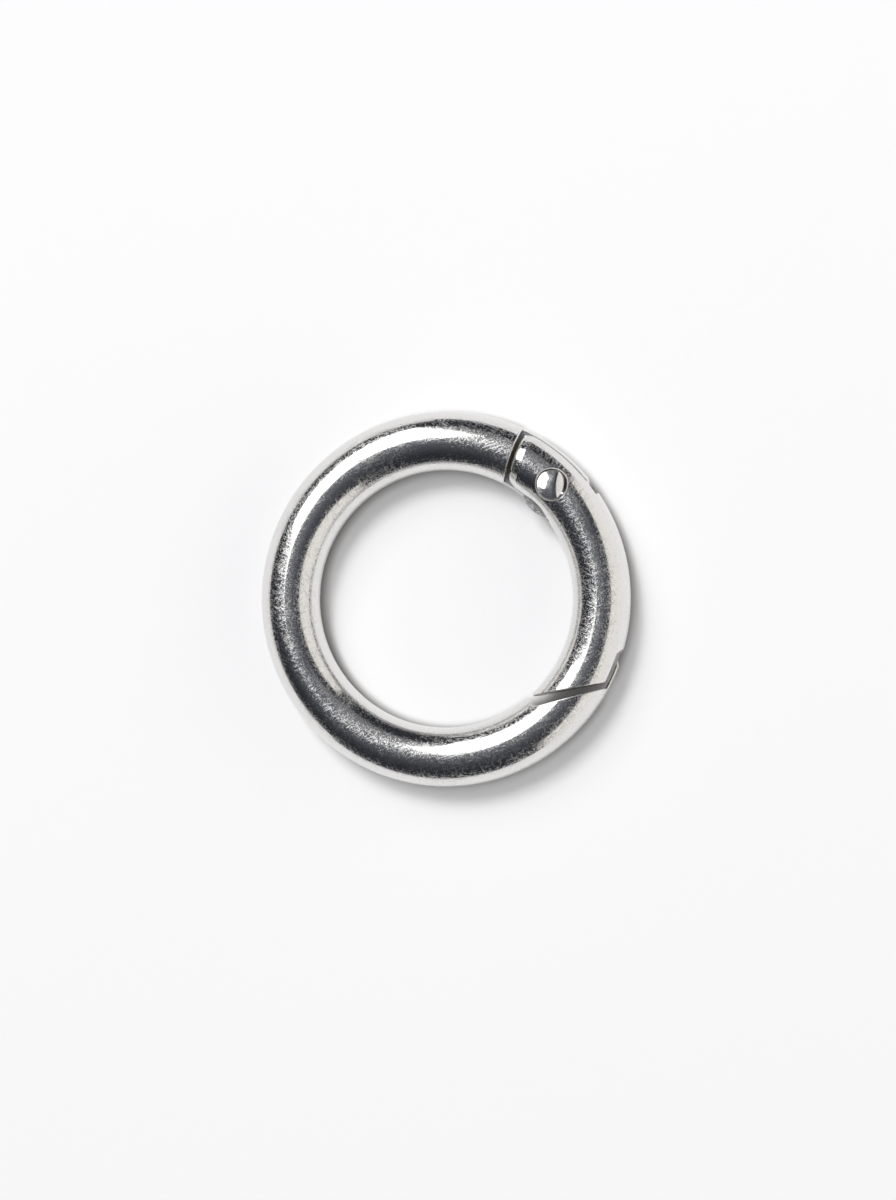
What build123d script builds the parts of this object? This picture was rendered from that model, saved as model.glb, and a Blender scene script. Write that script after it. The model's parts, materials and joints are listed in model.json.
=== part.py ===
"""Round spring-gate ring: a die-cast C-shaped ring closed by a hinged, spring-loaded gate.

The ring lies flat. The origin is the centre of the eye, on the ring's mid-plane, and +Z is
the ring's axis. Lengths are in millimetres and angles in degrees, counted from +X towards +Y.
"""

from build123d import *
from math import cos, radians, sin, sqrt, tan
import os

# ---------------------------------------------------------------- ring and gate sections
ring_mean_radius = 15.0
body_section_diameter = 5.6
gate_undersize = 0.15

# ---------------------------------------------------------------- hinge
pivot_angle = 45.0
shoulder_angle = 63.4
shoulder_direction = 70.0
fork_end_gap = 0.3
fork_edge_run = 0.9
fork_edge_drop = 0.25
fork_edge_radius = 0.35
shoulder_edge_radius = 0.12
web_root_run = 0.6

tongue_thickness = 1.7
tongue_end_radius = 3.15
tongue_edge_radius = 0.1
slot_side_clearance = 0.15
slot_end_clearance = 0.25

rivet_shank_diameter = 2.0
rivet_running_clearance = 0.05
rivet_head_diameter = 2.86
rivet_head_edge_radius = 0.1
rivet_crown_radius = 4.2
rivet_crown_height = 0.92
rivet_crown_lean = 7.3
rivet_crown_direction = 38.0
rivet_flank_radius = 6.0
rivet_flank_height = 1.0
rivet_flank_lean = 23.0
rivet_flank_direction = 8.0
rivet_ridge_radius = 1.1
rivet_tail_radius = 3.2
rivet_tail_height = 0.61
head_recess_clearance = 0.05
head_recess_depth = 0.925
head_recess_lip_radius = 0.14
head_recess_lip_turn = 80.0

# ---------------------------------------------------------------- nose
lip_thickness = 0.3
lip_draft = 20.0
lip_tip_angle = -18.9
lip_bevel_start_angle = -22.0
lip_bevel_lean = 22.0
pocket_floor_angle = -39.05
pocket_floor_direction = 14.5
pocket_end_angle = -49.8
pocket_end_radius = 0.5

lip_clearance = 0.14
gate_bevel_start_angle = -15.5
gate_bevel_direction = -135.0
gate_face_angle = -34.6
gate_face_direction = 11.0
gate_tip_angle = -46.8
gate_corner_radius = 0.5
gate_tip_radius = 0.25
nose_edge_radius = 0.1

# ---------------------------------------------------------------- gate spring
spring_wire_diameter = 0.35
spring_outer_diameter = 1.8
spring_coils = 8.0
spring_length = 6.6
spring_end_gap = 0.02
spring_bore_clearance = 0.1
spring_direction = -52.0
spring_lever = 1.0
spring_seat_distance = 2.0

# ---------------------------------------------------------------- derived sizes
body_radius = body_section_diameter / 2
gate_radius = (body_section_diameter - gate_undersize) / 2
head_recess_floor = gate_radius - head_recess_depth
slot_half = tongue_thickness / 2 + slot_side_clearance
slot_end_radius = tongue_end_radius + slot_end_clearance
lip_inner_radius = ring_mean_radius + body_radius - lip_thickness
gate_recess_radius = lip_inner_radius - lip_clearance

# reach of the cutting blocks, well clear of the ring
tall = 2 * body_section_diameter
far = 2 * ring_mean_radius
beyond_section = 0.75 * body_section_diameter
inside_eye = ring_mean_radius - beyond_section
outside_ring = ring_mean_radius + beyond_section


def toward(direction):
    """Unit vector in plan."""
    return Vector(cos(radians(direction)), sin(radians(direction)), 0)


def on_circle(radius, angle):
    """Point in plan at this radius from the ring's axis."""
    return toward(angle) * radius


def along(point, direction, radius):
    """Point where a line from point, running outwards, crosses this radius from the axis."""
    step = toward(direction)
    middle = point.dot(step)
    return point + step * (sqrt(middle**2 - point.dot(point) + radius**2) - middle)


def crossing(point, direction, angle):
    """Point where a line in plan crosses the radial line at this angle."""
    step = toward(direction)
    normal = toward(angle + 90)
    return point - step * (point.dot(normal) / step.dot(normal))


def prism(*outline):
    """Tall block over a closed polygon in plan."""
    return extrude(make_face(Polyline(*outline, close=True)), amount=tall, both=True)


def block_left_of(point, direction):
    """Tall block that fills the left side of a line through point."""
    return Pos(point) * Rot(0, 0, direction) * Pos(0, far / 2, 0) * Box(2 * far, far, 2 * tall)


def upright_edge(solid, point):
    """Vertical edge of a prism that stands nearest to a point in plan."""
    return solid.edges().filter_by(Axis.Z).sort_by_distance(point)[0]


def face_on(solid, point, direction):
    """Largest flat face of a solid that stands on a line in plan."""
    plane = Plane(origin=point, z_dir=toward(direction + 90))
    faces = solid.faces().filter_by(plane)
    level = [face for face in faces if abs(plane.to_local_coords(face.center()).Z) < 0.01]
    return ShapeList(level).sort_by(SortBy.AREA)[-1]


pivot = on_circle(ring_mean_radius, pivot_angle)
shoulder_point = on_circle(ring_mean_radius, shoulder_angle)
fork_point = shoulder_point + toward(shoulder_direction - 90) * fork_end_gap
floor_point = on_circle(ring_mean_radius, pocket_floor_angle)
face_point = on_circle(ring_mean_radius, gate_face_angle)
spring_seat = pivot + toward(spring_direction) * spring_seat_distance
spring_foot = spring_seat + toward(spring_direction - 90) * spring_lever


def make_tongue():
    """Flat web that carries the gate: round end, hole for the rivet, flat for the spring."""
    ring = Torus(ring_mean_radius, body_radius)
    slab = Box(2 * far, 2 * far, tongue_thickness)
    root = shoulder_point - toward(shoulder_direction - 90) * web_root_run
    web_outline = prism(
        along(root, shoulder_direction, outside_ring),
        root - toward(shoulder_direction) * (ring_mean_radius - inside_eye),
        on_circle(inside_eye, pivot_angle),
        on_circle(outside_ring, pivot_angle),
    )
    web = ring & slab & web_outline
    disc = Cylinder(tongue_end_radius, tongue_thickness)
    disc = fillet(disc.edges().filter_by(GeomType.CIRCLE), tongue_edge_radius)
    lobe = Pos(pivot) * disc & (Cylinder(ring_mean_radius, tall) + ring)
    seat = block_left_of(spring_seat, spring_direction - 90)
    hole = Pos(pivot) * Cylinder(rivet_shank_diameter / 2 + rivet_running_clearance, tall)
    return (web + lobe) - seat - hole


def make_ring_body():
    """C-shaped ring with the tongue at one end and the pocket and its outer lip at the other."""
    gate_room = prism(
        shoulder_point - toward(shoulder_direction) * (ring_mean_radius - inside_eye),
        along(shoulder_point, shoulder_direction, outside_ring),
        on_circle(far, pivot_angle),
        on_circle(far, 0),
        on_circle(outside_ring, lip_tip_angle),
        on_circle(inside_eye, lip_tip_angle),
    )
    floor_outer = along(floor_point, pocket_floor_direction, outside_ring)
    floor_inner = crossing(floor_point, pocket_floor_direction, pocket_end_angle)
    pocket = prism(
        on_circle(inside_eye, lip_tip_angle),
        on_circle(outside_ring, lip_tip_angle),
        floor_outer,
        floor_inner,
        on_circle(inside_eye, pocket_end_angle),
    )
    pocket = fillet(upright_edge(pocket, floor_inner), pocket_end_radius)
    flare = lip_inner_radius + tall * tan(radians(lip_draft))
    wall = Polyline(
        (0, -tall),
        (flare, -tall),
        (lip_inner_radius, 0),
        (flare, tall),
        (0, tall),
        close=True,
    )
    inside_lip = revolve(Plane.XZ * make_face(wall), Axis.Z)
    pocket = pocket & inside_lip
    bevel_start = on_circle(ring_mean_radius + body_radius, lip_bevel_start_angle)
    bevel = block_left_of(bevel_start, lip_bevel_start_angle + lip_bevel_lean - 90)

    body = Torus(ring_mean_radius, body_radius) - gate_room - pocket - bevel
    shoulder = face_on(body, shoulder_point, shoulder_direction)
    body = fillet(shoulder.edges(), shoulder_edge_radius)
    pocket_floor = face_on(body, floor_point, pocket_floor_direction)
    floor_rim = pocket_floor.edges().filter_by(GeomType.BSPLINE)
    body = fillet(floor_rim, nose_edge_radius)
    return body + make_tongue()


def head_recess():
    """Round recess for a rivet head, with a rounded mouth where it meets the gate's crest."""
    wall_radius = rivet_head_diameter / 2 + head_recess_clearance
    wall_top = gate_radius - head_recess_lip_radius
    mouth = CenterArc(
        (wall_radius + head_recess_lip_radius, wall_top),
        head_recess_lip_radius,
        180,
        -head_recess_lip_turn,
    )
    slope = radians(90 - head_recess_lip_turn)
    edge = mouth @ 1
    rim = edge + Vector(cos(slope), sin(slope)) * tall
    profile = Polyline((0, head_recess_floor), (wall_radius, head_recess_floor), mouth @ 0)
    profile += mouth
    profile += Polyline(edge, rim, (0, rim.Y), (0, head_recess_floor))
    return revolve(Plane.XZ * make_face(profile), Axis.Z)


def make_gate_blank():
    """Arc of the gate with its nose shaped and its edges softened, before the fork is cut."""
    face_outer = along(face_point, gate_face_direction, outside_ring)
    face_tip = crossing(face_point, gate_face_direction, gate_tip_angle)
    outline = prism(
        fork_point - toward(shoulder_direction) * (ring_mean_radius - inside_eye),
        along(fork_point, shoulder_direction, outside_ring),
        on_circle(far, pivot_angle),
        on_circle(far, 0),
        face_outer,
        face_tip,
        on_circle(inside_eye, gate_tip_angle),
    )
    bevel_start = on_circle(ring_mean_radius + gate_radius, gate_bevel_start_angle)
    nose_step = block_left_of(bevel_start, gate_bevel_direction)
    nose_step -= Cylinder(gate_recess_radius, 2 * tall)
    outline -= nose_step
    corner = along(face_point, gate_face_direction, gate_recess_radius)
    outline = fillet(upright_edge(outline, corner), gate_corner_radius)
    outline = fillet(upright_edge(outline, face_tip), gate_tip_radius)
    blank = Torus(ring_mean_radius, gate_radius) & outline
    nose_face = face_on(blank, face_point, gate_face_direction)
    blank = fillet(nose_face.edges().filter_by(GeomType.BSPLINE), nose_edge_radius)
    fork_end = face_on(blank, fork_point, shoulder_direction)
    blank = chamfer(fork_end.edges(), fork_edge_drop, fork_edge_run, reference=fork_end)
    fork_end = face_on(blank, fork_point, shoulder_direction)
    return fillet(fork_end.edges(), fork_edge_radius)


def make_gate():
    """Hinged gate: two ears round the tongue, recesses for the rivet, blind bore for the spring."""
    gate = make_gate_blank()

    fork_side = block_left_of(pivot, pivot_angle)
    slot_bottom = pivot + toward(pivot_angle - 90) * slot_end_radius
    outer_part = block_left_of(slot_bottom, pivot_angle) & block_left_of(pivot, pivot_angle - 90)
    round_end = Pos(pivot) * Cylinder(slot_end_radius, tall)
    slot = (fork_side + outer_part + round_end) & Box(2 * far, 2 * far, 2 * slot_half)
    gate -= slot

    bore_radius = spring_outer_diameter / 2 + spring_bore_clearance
    bore_depth = spring_length + 2 * spring_end_gap
    bore_plane = Plane(origin=spring_foot, z_dir=toward(spring_direction))
    gate -= bore_plane * Cylinder(
        bore_radius, bore_depth, align=(Align.CENTER, Align.CENTER, Align.MIN)
    )

    gate -= Pos(pivot) * Cylinder(rivet_shank_diameter / 2, 2 * tall)
    recess = head_recess()
    return gate - Pos(pivot) * recess - Pos(pivot) * Rot(180, 0, 0) * recess


def dome(radius, height, lean=0, direction=0):
    """Ball that crosses the rivet's axis at a height over the recess floor, tipped by lean."""
    offset = toward(direction) * (radius * sin(radians(lean)))
    centre_height = head_recess_floor + height - radius * cos(radians(lean))
    return Pos(Vector(0, 0, centre_height) - offset) * Rot(0, 90, 0) * Sphere(radius)


def make_rivet_head(top):
    """Round head on the recess floor, cut to the shape of top and softened round its edge."""
    stem = Cylinder(rivet_head_diameter / 2, tall, align=(Align.CENTER, Align.CENTER, Align.MIN))
    head = Pos(0, 0, head_recess_floor) * stem & top
    side = head.faces().filter_by(GeomType.CYLINDER)[0]
    rims = side.edges().filter_by(GeomType.LINE, reverse=True).sort_by(Axis.Z)
    return fillet(rims[1:], rivet_head_edge_radius)


def make_hinge_rivet():
    """Rivet peened a little askew: a crown and a steeper flank above, an even dome below."""
    crown = dome(rivet_crown_radius, rivet_crown_height, rivet_crown_lean, rivet_crown_direction)
    flank = dome(rivet_flank_radius, rivet_flank_height, rivet_flank_lean, rivet_flank_direction)
    peened = crown & flank
    ridge = peened.edges().sort_by(Axis.Z)[-1]
    head = make_rivet_head(fillet(ridge, rivet_ridge_radius))
    tail = Rot(180, 0, 0) * make_rivet_head(dome(rivet_tail_radius, rivet_tail_height))
    shank = Cylinder(rivet_shank_diameter / 2, 2 * head_recess_floor)
    return Pos(pivot) * (shank + head + tail)


def make_gate_spring():
    """Compression coil between the flat of the tongue and the bottom of the gate's bore."""
    pitch = spring_length / spring_coils
    coil_radius = (spring_outer_diameter - spring_wire_diameter) / 2
    helix = Helix(pitch, spring_length + 2 * pitch, coil_radius, center=(0, 0, -pitch))
    section = Plane(origin=helix @ 0, z_dir=helix % 0) * Circle(spring_wire_diameter / 2)
    coil = sweep(section, path=helix, is_frenet=True)
    ground = Cylinder(
        spring_outer_diameter, spring_length, align=(Align.CENTER, Align.CENTER, Align.MIN)
    )
    seat = spring_foot + toward(spring_direction) * spring_end_gap
    return Plane(origin=seat, z_dir=toward(spring_direction)) * (coil & ground)


if __name__ == "__main__":
    os.makedirs("parts", exist_ok=True)
    export_step(make_ring_body(), "parts/ring_body.step")
    export_step(make_gate(), "parts/gate.step")
    export_step(make_hinge_rivet(), "parts/hinge_rivet.step")
    export_step(make_gate_spring(), "parts/gate_spring.step")
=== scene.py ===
"""Looks of the spring gate ring: bright nickel plating, the coil in the gate, floor, lights and camera.

Lengths are in metres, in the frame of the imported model: the ring lies flat round the origin and
+Z is up. Angles are in degrees, counted from +X towards +Y. Noise scales are in cells per metre.
"""

import json
from math import cos, pi, radians, sin

import bmesh
import bpy
from mathutils import Matrix, Vector


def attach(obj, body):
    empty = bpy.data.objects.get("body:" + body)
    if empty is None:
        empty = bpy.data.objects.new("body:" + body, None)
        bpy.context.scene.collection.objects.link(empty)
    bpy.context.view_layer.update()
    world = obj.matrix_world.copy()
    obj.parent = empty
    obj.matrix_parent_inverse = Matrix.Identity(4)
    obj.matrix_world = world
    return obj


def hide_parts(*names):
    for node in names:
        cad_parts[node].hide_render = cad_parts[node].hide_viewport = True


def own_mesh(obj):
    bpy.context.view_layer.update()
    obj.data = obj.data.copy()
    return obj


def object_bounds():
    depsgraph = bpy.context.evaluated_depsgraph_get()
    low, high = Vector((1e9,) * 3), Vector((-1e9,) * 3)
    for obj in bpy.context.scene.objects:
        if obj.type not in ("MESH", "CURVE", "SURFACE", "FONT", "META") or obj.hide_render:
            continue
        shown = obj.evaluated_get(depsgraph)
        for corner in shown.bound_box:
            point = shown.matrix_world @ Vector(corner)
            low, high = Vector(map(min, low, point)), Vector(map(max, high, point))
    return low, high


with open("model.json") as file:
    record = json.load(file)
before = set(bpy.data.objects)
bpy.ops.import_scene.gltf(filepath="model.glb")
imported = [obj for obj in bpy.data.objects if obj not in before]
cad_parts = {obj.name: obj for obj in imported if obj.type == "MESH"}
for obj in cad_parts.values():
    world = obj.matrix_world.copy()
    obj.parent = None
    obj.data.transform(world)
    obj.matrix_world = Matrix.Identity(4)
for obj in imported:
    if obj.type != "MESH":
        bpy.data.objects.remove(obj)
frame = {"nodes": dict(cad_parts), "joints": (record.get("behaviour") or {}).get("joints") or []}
cad_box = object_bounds()

# ---------------------------------------------------------------- places taken from the frame
MM = 0.001
HINGE = frame["joints"][0]
PIVOT = Vector(HINGE["pos_m"])
FLOOR_Z = cad_box[0][2]
STRAIGHT_UP = Vector((0, 0, 1))

# ---------------------------------------------------------------- camera
CAMERA_TILT = 10.6
CAMERA_AZIMUTH = -7.5
CAMERA_DISTANCE = 0.320
SENSOR_HEIGHT = 24.0
LENS = 67.47
SHIFT_X = 0.0024
SHIFT_Y = -0.001
CLIP_NEAR = 0.01
CLIP_FAR = 20.0

# ---------------------------------------------------------------- metal
BRIGHT_NICKEL = (0.79, 0.78, 0.765, 1.0)
RIVET_NICKEL = (0.76, 0.75, 0.74, 1.0)
SPRING_STEEL = (0.42, 0.41, 0.40, 1.0)
RIVET_WEAR = 0.7
SPRING_WEAR = 0.6

# Roughness of the plating between the scratches and on them, and the depth of its relief.
POLISH = 0.10
HAZE = 0.46
RELIEF = 0.0055 * MM

# Scratches: long thin noise, laid in five directions, that shows where it is above low.
SCRATCH_DIRECTIONS = (
    (0, 0, 20),
    (0, 35, 65),
    (0, -30, 110),
    (0, 15, 155),
    (0, 75, 40),
)
HAIRLINES = {"scale": 7500.0, "stretch": 11.0, "low": 0.61, "high": 0.70, "seed": 11.0}
MARKS = {"scale": 9000.0, "stretch": 22.0, "low": 0.68, "high": 0.74, "seed": 3.0}
LAYER_STEP = (0.037, 0.071, 0.013)

# Bands are (low, high, value at low, value at high), for ramp().
PATCH_SCALE = 190.0
PATCH_BAND = (0.35, 0.65, 0.45, 1.0)
GRAIN_SCALE = 3600.0
GRAIN_SHARE = 0.35

# Painted light and shade in the gaps, by how open the surface is: pale olive deep in a gap (painted
# light), dark brown nearer its mouth (painted shade), then the plain metal colour.
CREVICE_REACH = 2.2 * MM
CREVICE_SAMPLES = 8
GAP_PAINTED_SHADE_TONES = (
    (0.14, (0.70, 0.67, 0.56, 1.0)),
    (0.24, (0.34, 0.30, 0.24, 1.0)),
)
UNSHADED_FROM = 0.36
DULL_BAND = (0.12, 0.32, 0.5, 0.0)
EXPOSED_FROM = 0.70
EXPOSED_TO = 0.95

# Edges with little metal behind them get a painted highlight, a pale tint in their colour, and are made
# matt.
EDGE_PAINTED_HIGHLIGHT = (0.97, 0.96, 0.94, 1.0)
EDGE_REACH = 0.14 * MM
EDGE_BAND = (0.72, 0.95, 1.0, 0.0)
EDGE_WEAR = 0.80

# ---------------------------------------------------------------- stage and lights
WHITE = (1.0, 1.0, 1.0)
TABLE_HALF_SIDE = 4.0
TABLE_ROUGHNESS = 0.9
FLOOR_GLOW = 0.25
GLOW_REACH = 1.7 * MM
TABLE_SAMPLES = 16

# Painted shade on the table: its colour turns dark brown where something covers it closely, so that narrow
# gaps look deep.
TABLE_PAINTED_SHADE = (
    (0.50, (0.055, 0.042, 0.034, 1.0)),
    (0.85, (0.755, 0.753, 0.760, 1.0)),
)

# The room by height: dark towards the horizon and lighter overhead.
ROOM_BANDS = (
    (0.55, (0.026, 0.028, 0.034, 1.0)),
    (0.77, (0.047, 0.051, 0.062, 1.0)),
    (0.94, (0.084, 0.089, 0.104, 1.0)),
    (1.00, (0.170, 0.178, 0.200, 1.0)),
)

SOFTBOX_TILT = 33.7
SOFTBOX_AZIMUTH = 122.9
SOFTBOX_FACE_TILT = 71.8
SOFTBOX_FACE_AZIMUTH = 171.5
SOFTBOX_TURN = 11.8
SOFTBOX_DISTANCE = 2.0
SOFTBOX_WIDTH = 0.74
SOFTBOX_HEIGHT = 0.74
SOFTBOX_RADIANCE = 3.5
CORE_TILT = 29.0
CORE_AZIMUTH = 116.0
CORE_DISTANCE = 1.5
CORE_SIZE = 0.29
CORE_RADIANCE = 19.0
GLOW_TILT = 37.0
GLOW_AZIMUTH = 81.0
GLOW_DISTANCE = 3.0
GLOW_SIZE = 0.65
GLOW_RADIANCE = 0.16
CARDS = {
    "cream_card": {
        "azimuth": -6.0,
        "distance": 1.4,
        "width": 4.2,
        "top": 1.4,
        "radiance": 0.92,
        "colour": (1.0, 0.968, 0.92),
    },
    "low_card": {
        "azimuth": 163.0,
        "distance": 2.0,
        "width": 6.9,
        "top": 0.40,
        "radiance": 0.92,
        "colour": (1.0, 0.98, 0.97),
    },
}

# ---------------------------------------------------------------- gate spring
SPRING_DIRECTION = -52.0
SPRING_SEAT = 2.0 * MM
SPRING_LEVER = 1.0 * MM
SPRING_GAP = 0.02 * MM
SPRING_LENGTH = 6.6 * MM
SPRING_WIRE = 0.35 * MM
SPRING_OUTER = 1.8 * MM
SPRING_TURNS = 10.0
CLOSED_TURNS = 1.25
STEPS_PER_TURN = 28
SIDES_OF_WIRE = 14


def sky_direction(from_vertical, azimuth):
    """Unit vector that leans from straight up by from_vertical, towards azimuth."""
    lean = radians(from_vertical)
    turn = radians(azimuth)
    return Vector((sin(lean) * cos(turn), sin(lean) * sin(turn), cos(lean)))


def aimed(direction, up_hint):
    """Rotation whose +Z points along direction and whose +Y is as near up_hint as it can be."""
    back = direction.normalized()
    right = up_hint.cross(back).normalized()
    up = back.cross(right)
    return Matrix((right, up, back)).transposed()


def make_camera():
    """Long lens that looks down on the ring, a little from the right."""
    data = bpy.data.cameras.new("camera")
    camera = bpy.data.objects.new("camera", data)
    bpy.context.scene.collection.objects.link(camera)
    direction = sky_direction(CAMERA_TILT, CAMERA_AZIMUTH)
    rotation = aimed(direction, Vector((0, 1, 0)))
    camera.matrix_world = Matrix.Translation(direction * CAMERA_DISTANCE) @ rotation.to_4x4()
    data.sensor_fit = "VERTICAL"
    data.sensor_height = SENSOR_HEIGHT
    data.lens = LENS
    data.clip_start = CLIP_NEAR
    data.clip_end = CLIP_FAR
    data.shift_x = SHIFT_X
    data.shift_y = SHIFT_Y
    bpy.context.scene.camera = camera


# ---------------------------------------------------------------- materials
def new_material(name):
    """Material with its nodes and links."""
    material = bpy.data.materials.new(name)
    material.use_nodes = True
    return material, material.node_tree.nodes, material.node_tree.links


def math_node(nodes, links, operation, first, second):
    """Result of a math node on two sockets or numbers."""
    node = nodes.new("ShaderNodeMath")
    node.operation = operation
    for socket, value in zip(node.inputs, (first, second)):
        if isinstance(value, float):
            socket.default_value = value
        else:
            links.new(value, socket)
    return node.outputs[0]


def ramp(nodes, links, value, low, high, to_low=0.0, to_high=1.0):
    """Value carried from the range low..high to to_low..to_high, and held there outside it."""
    node = nodes.new("ShaderNodeMapRange")
    node.inputs["From Min"].default_value = low
    node.inputs["From Max"].default_value = high
    node.inputs["To Min"].default_value = to_low
    node.inputs["To Max"].default_value = to_high
    links.new(value, node.inputs["Value"])
    return node.outputs["Result"]


def fill_bands(node, bands):
    """Set the stops of a colour ramp."""
    stops = node.color_ramp.elements
    stops[0].position, stops[0].color = bands[0]
    stops[1].position, stops[1].color = bands[-1]
    for position, colour in bands[1:-1]:
        stops.new(position).color = colour


def openness(nodes, reach, samples, inside=False):
    """How open the surface is within reach: 1 in the open, 0 when covered. Inside looks inwards."""
    node = nodes.new("ShaderNodeAmbientOcclusion")
    node.samples = samples
    node.inside = inside
    node.inputs["Distance"].default_value = reach
    return node.outputs["AO"]


def noise(nodes, links, position, scale, detail=2.0, stretch=1.0, turn=(0, 0, 0), shift=0.0):
    """Noise in object space, drawn out along one turned axis when stretch is above 1."""
    mapping = nodes.new("ShaderNodeMapping")
    mapping.vector_type = "TEXTURE"
    mapping.inputs["Rotation"].default_value = [radians(angle) for angle in turn]
    mapping.inputs["Location"].default_value = [shift * step for step in LAYER_STEP]
    mapping.inputs["Scale"].default_value = (stretch, 1.0, 1.0)
    links.new(position, mapping.inputs["Vector"])
    node = nodes.new("ShaderNodeTexNoise")
    node.inputs["Scale"].default_value = scale
    node.inputs["Detail"].default_value = detail
    links.new(mapping.outputs["Vector"], node.inputs["Vector"])
    return node.outputs["Fac"]


def scratches(nodes, links, place, scale, stretch, low, high, seed):
    """Thin straight scratches in every direction: 1 on a scratch and 0 between them."""
    total = None
    for index, turn in enumerate(SCRATCH_DIRECTIONS):
        value = noise(nodes, links, place, scale, stretch=stretch, turn=turn, shift=seed + index)
        layer = ramp(nodes, links, value, low, high)
        if total is None:
            total = layer
        else:
            total = math_node(nodes, links, "MAXIMUM", total, layer)
    return total


def nickel(name, colour, wear=1.0):
    """Bright nickel over a tumbled casting: mirror, hairline haze, scratches, painted light and shade in
    the gaps, painted highlight on thin edges.
    """
    material, nodes, links = new_material(name)
    shader = nodes["Principled BSDF"]
    shader.inputs["Metallic"].default_value = 1.0
    place = nodes.new("ShaderNodeTexCoord").outputs["Object"]
    open_air = openness(nodes, CREVICE_REACH, CREVICE_SAMPLES)

    hairlines = scratches(nodes, links, place, **HAIRLINES)
    marks = scratches(nodes, links, place, **MARKS)
    patches = ramp(nodes, links, noise(nodes, links, place, PATCH_SCALE, detail=3.0), *PATCH_BAND)
    worn = math_node(nodes, links, "MAXIMUM", hairlines, marks)
    worn = math_node(nodes, links, "MULTIPLY", worn, patches)
    exposed = ramp(nodes, links, open_air, EXPOSED_FROM, EXPOSED_TO, 0.0, wear)
    worn = math_node(nodes, links, "MULTIPLY", worn, exposed)

    # Painted light and shade: the base colour follows openness, pale olive deep in a gap and dark brown
    # nearer its mouth.
    gap_painted_shade = nodes.new("ShaderNodeValToRGB")
    fill_bands(gap_painted_shade, GAP_PAINTED_SHADE_TONES + ((UNSHADED_FROM, colour),))
    links.new(open_air, gap_painted_shade.inputs["Fac"])
    solid_below = openness(nodes, EDGE_REACH, CREVICE_SAMPLES, inside=True)
    edge_highlight_mask = ramp(nodes, links, solid_below, *EDGE_BAND)
    # Painted highlight: thin edges are tinted pale so that they show as a bright line.
    tint = nodes.new("ShaderNodeMix")
    tint.data_type = "RGBA"
    tint.inputs["B"].default_value = EDGE_PAINTED_HIGHLIGHT
    links.new(gap_painted_shade.outputs["Color"], tint.inputs["A"])
    links.new(edge_highlight_mask, tint.inputs["Factor"])
    links.new(tint.outputs["Result"], shader.inputs["Base Color"])

    rough = ramp(nodes, links, worn, 0.0, 1.0, POLISH, HAZE)
    dull = ramp(nodes, links, open_air, *DULL_BAND)
    edge_roughness = ramp(nodes, links, edge_highlight_mask, 0.0, 1.0, 0.0, EDGE_WEAR)
    rough = math_node(nodes, links, "MAXIMUM", rough, dull)
    rough = math_node(nodes, links, "MAXIMUM", rough, edge_roughness)
    links.new(rough, shader.inputs["Roughness"])

    grain = noise(nodes, links, place, GRAIN_SCALE, detail=1.0)
    grain = math_node(nodes, links, "MULTIPLY", grain, GRAIN_SHARE)
    relief = math_node(nodes, links, "SUBTRACT", grain, worn)
    bump = nodes.new("ShaderNodeBump")
    bump.inputs["Strength"].default_value = 1.0
    bump.inputs["Distance"].default_value = RELIEF
    links.new(relief, bump.inputs["Height"])
    links.new(bump.outputs["Normal"], shader.inputs["Normal"])
    return material


# ---------------------------------------------------------------- table, lamps and room
def make_floor():
    """White table with a faint glow of its own, which the camera and the metal see; painted shade darkens
    it where the ring covers it closely, and the glow fades there as a painted shadow.
    """
    side = TABLE_HALF_SIDE
    corners = [(x, y, FLOOR_Z) for x, y in ((-side, -side), (side, -side), (side, side), (-side, side))]
    mesh = bpy.data.meshes.new("floor")
    mesh.from_pydata(corners, [], [(0, 1, 2, 3)])
    floor = bpy.data.objects.new("floor", mesh)
    bpy.context.scene.collection.objects.link(floor)

    material, nodes, links = new_material("white_table")
    shader = nodes["Principled BSDF"]
    shader.inputs["Roughness"].default_value = TABLE_ROUGHNESS
    shader.inputs["Specular IOR Level"].default_value = 0.0
    shader.inputs["Emission Color"].default_value = (*WHITE, 1.0)
    open_sky = openness(nodes, GLOW_REACH, TABLE_SAMPLES)
    # Painted shade: dark brown where the table is closely covered.
    table_painted_shade = nodes.new("ShaderNodeValToRGB")
    fill_bands(table_painted_shade, TABLE_PAINTED_SHADE)
    links.new(open_sky, table_painted_shade.inputs["Fac"])
    links.new(table_painted_shade.outputs["Color"], shader.inputs["Base Color"])

    rays = nodes.new("ShaderNodeLightPath").outputs
    seen = math_node(nodes, links, "ADD", rays["Is Camera Ray"], rays["Is Glossy Ray"])
    glow = math_node(nodes, links, "MULTIPLY", seen, FLOOR_GLOW)
    # Painted shadow: the glow fades where the ring covers the table closely.
    glow = math_node(nodes, links, "MULTIPLY", glow, open_sky)
    links.new(glow, shader.inputs["Emission Strength"])
    mesh.materials.append(material)


def make_lamp(name, centre, normal, up_hint, size, radiance, colour=WHITE, mirrored=True):
    """Rectangular lamp that shines along normal with the same brightness all over its face."""
    width, height = size
    data = bpy.data.lights.new(name, "AREA")
    data.shape = "RECTANGLE"
    data.size = width
    data.size_y = height
    data.energy = radiance * pi * width * height
    data.color = colour
    lamp = bpy.data.objects.new(name, data)
    bpy.context.scene.collection.objects.link(lamp)
    lamp.matrix_world = Matrix.Translation(centre) @ aimed(-normal, up_hint).to_4x4()
    lamp.visible_camera = False
    lamp.visible_glossy = mirrored


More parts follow.
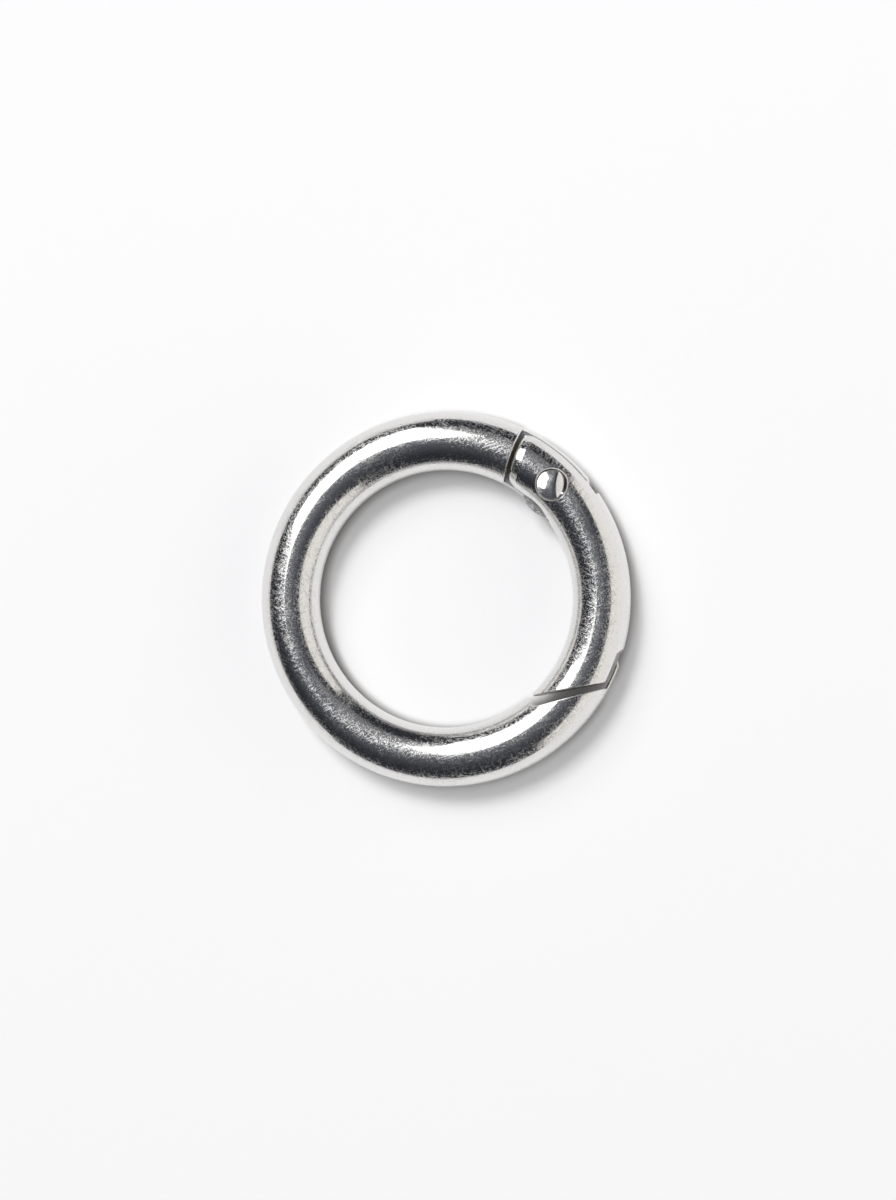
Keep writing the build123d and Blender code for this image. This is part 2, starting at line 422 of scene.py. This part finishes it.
def make_softbox():
    """Key light on the upper left: a diffuser turned a little away, brightest near one corner."""
    facing = sky_direction(SOFTBOX_FACE_TILT, SOFTBOX_FACE_AZIMUTH)
    level = STRAIGHT_UP.cross(facing).normalized()
    upward = facing.cross(level)
    turn = radians(SOFTBOX_TURN)
    up_hint = upward * cos(turn) + level * sin(turn)
    centre = sky_direction(SOFTBOX_TILT, SOFTBOX_AZIMUTH) * SOFTBOX_DISTANCE
    size = (SOFTBOX_WIDTH * SOFTBOX_DISTANCE, SOFTBOX_HEIGHT * SOFTBOX_DISTANCE)
    make_lamp("softbox", centre, -facing, up_hint, size, SOFTBOX_RADIANCE)
    toward_core = sky_direction(CORE_TILT, CORE_AZIMUTH)
    core_centre = toward_core * CORE_DISTANCE
    core_side = CORE_SIZE * CORE_DISTANCE
    core_size = (core_side, core_side)
    make_lamp("softbox_core", core_centre, -toward_core, up_hint, core_size, CORE_RADIANCE, mirrored=False)


def make_glow():
    """Dim light that the softbox throws on the wall beside it."""
    toward_glow = sky_direction(GLOW_TILT, GLOW_AZIMUTH)
    side = GLOW_SIZE * GLOW_DISTANCE
    centre = toward_glow * GLOW_DISTANCE
    make_lamp("wall_glow", centre, -toward_glow, STRAIGHT_UP, (side, side), GLOW_RADIANCE)


def make_card(name, azimuth, distance, width, top, radiance, colour):
    """Upright pale card that stands on the table and faces the ring."""
    toward_card = sky_direction(90, azimuth)
    centre = toward_card * distance + Vector((0, 0, FLOOR_Z + top / 2))
    make_lamp(name, centre, -toward_card, STRAIGHT_UP, (width, top), radiance, colour)


def make_world():
    """Dim room, lighter overhead, and plain white where the camera looks past the table."""
    world = bpy.data.worlds.new("studio")
    bpy.context.scene.world = world
    world.use_nodes = True
    nodes = world.node_tree.nodes
    links = world.node_tree.links
    direction = nodes.new("ShaderNodeTexCoord").outputs["Generated"]
    parts = nodes.new("ShaderNodeSeparateXYZ")
    links.new(direction, parts.inputs["Vector"])
    room = nodes.new("ShaderNodeValToRGB")
    fill_bands(room, ROOM_BANDS)
    links.new(parts.outputs["Z"], room.inputs["Fac"])
    dark = nodes["Background"]
    links.new(room.outputs["Color"], dark.inputs["Color"])
    white = nodes.new("ShaderNodeBackground")
    white.inputs["Color"].default_value = (*WHITE, 1.0)
    rays = nodes.new("ShaderNodeLightPath")
    mix = nodes.new("ShaderNodeMixShader")
    links.new(rays.outputs["Is Camera Ray"], mix.inputs[0])
    links.new(dark.outputs[0], mix.inputs[1])
    links.new(white.outputs[0], mix.inputs[2])
    links.new(mix.outputs[0], nodes["World Output"].inputs["Surface"])


# ---------------------------------------------------------------- the coil
def coil_height(turn):
    """Height of the wire's centre line: close-wound turns at both ends and open ones between."""
    closed = CLOSED_TURNS * SPRING_WIRE
    rise = (SPRING_LENGTH - 2 * closed) / (SPRING_TURNS - 2 * CLOSED_TURNS)
    if turn < CLOSED_TURNS:
        return turn * SPRING_WIRE
    if turn > SPRING_TURNS - CLOSED_TURNS:
        return SPRING_LENGTH - (SPRING_TURNS - turn) * SPRING_WIRE
    return closed + (turn - CLOSED_TURNS) * rise


def make_spring(material):
    """Compression coil with close-wound, ground ends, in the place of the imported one."""
    axis = sky_direction(90, SPRING_DIRECTION)
    side = sky_direction(90, SPRING_DIRECTION - 90)
    foot = PIVOT + axis * (SPRING_SEAT + SPRING_GAP) + side * SPRING_LEVER
    up = axis.cross(side)
    radius = (SPRING_OUTER - SPRING_WIRE) / 2
    mesh = bmesh.new()
    loops = []
    steps = round(SPRING_TURNS * STEPS_PER_TURN)
    for step in range(steps + 1):
        turn = step / STEPS_PER_TURN
        outward = side * cos(2 * pi * turn) + up * sin(2 * pi * turn)
        loop = []
        for corner in range(SIDES_OF_WIRE):
            angle = 2 * pi * corner / SIDES_OF_WIRE
            reach = radius + cos(angle) * SPRING_WIRE / 2
            height = coil_height(turn) + sin(angle) * SPRING_WIRE / 2
            height = min(max(height, 0.0), SPRING_LENGTH)
            loop.append(mesh.verts.new(foot + outward * reach + axis * height))
        loops.append(loop)
    for lower, upper in zip(loops, loops[1:]):
        for corner in range(SIDES_OF_WIRE):
            following = (corner + 1) % SIDES_OF_WIRE
            mesh.faces.new((lower[corner], upper[corner], upper[following], lower[following]))
    mesh.faces.new(loops[0])
    mesh.faces.new(list(reversed(loops[-1])))
    for face in mesh.faces:
        face.smooth = len(face.verts) == 4
    bmesh.ops.recalc_face_normals(mesh, faces=mesh.faces)
    data = bpy.data.meshes.new("gate_coil")
    mesh.to_mesh(data)
    mesh.free()
    data.materials.append(material)
    coil = bpy.data.objects.new("gate_coil", data)
    bpy.context.scene.collection.objects.link(coil)
    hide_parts("gate_spring")
    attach(coil, "gate_arm")
    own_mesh(coil)


# ---------------------------------------------------------------- the scene
bpy.context.scene.view_settings.view_transform = "Standard"
make_camera()
make_world()
make_floor()
make_softbox()
make_glow()
for card_name, card in CARDS.items():
    make_card(card_name, **card)

plating = nickel("nickel_plated_zinc", BRIGHT_NICKEL)
rivet_plating = nickel("nickel_plated_steel", RIVET_NICKEL, wear=RIVET_WEAR)
coil_steel = nickel("spring_steel", SPRING_STEEL, wear=SPRING_WEAR)
finishes = {
    "ring_body": plating,
    "gate": plating,
    "hinge_rivet": rivet_plating,
    "gate_spring": coil_steel,
}
for name, finish in finishes.items():
    node = frame["nodes"][name]
    node.data.materials.clear()
    node.data.materials.append(finish)
make_spring(coil_steel)
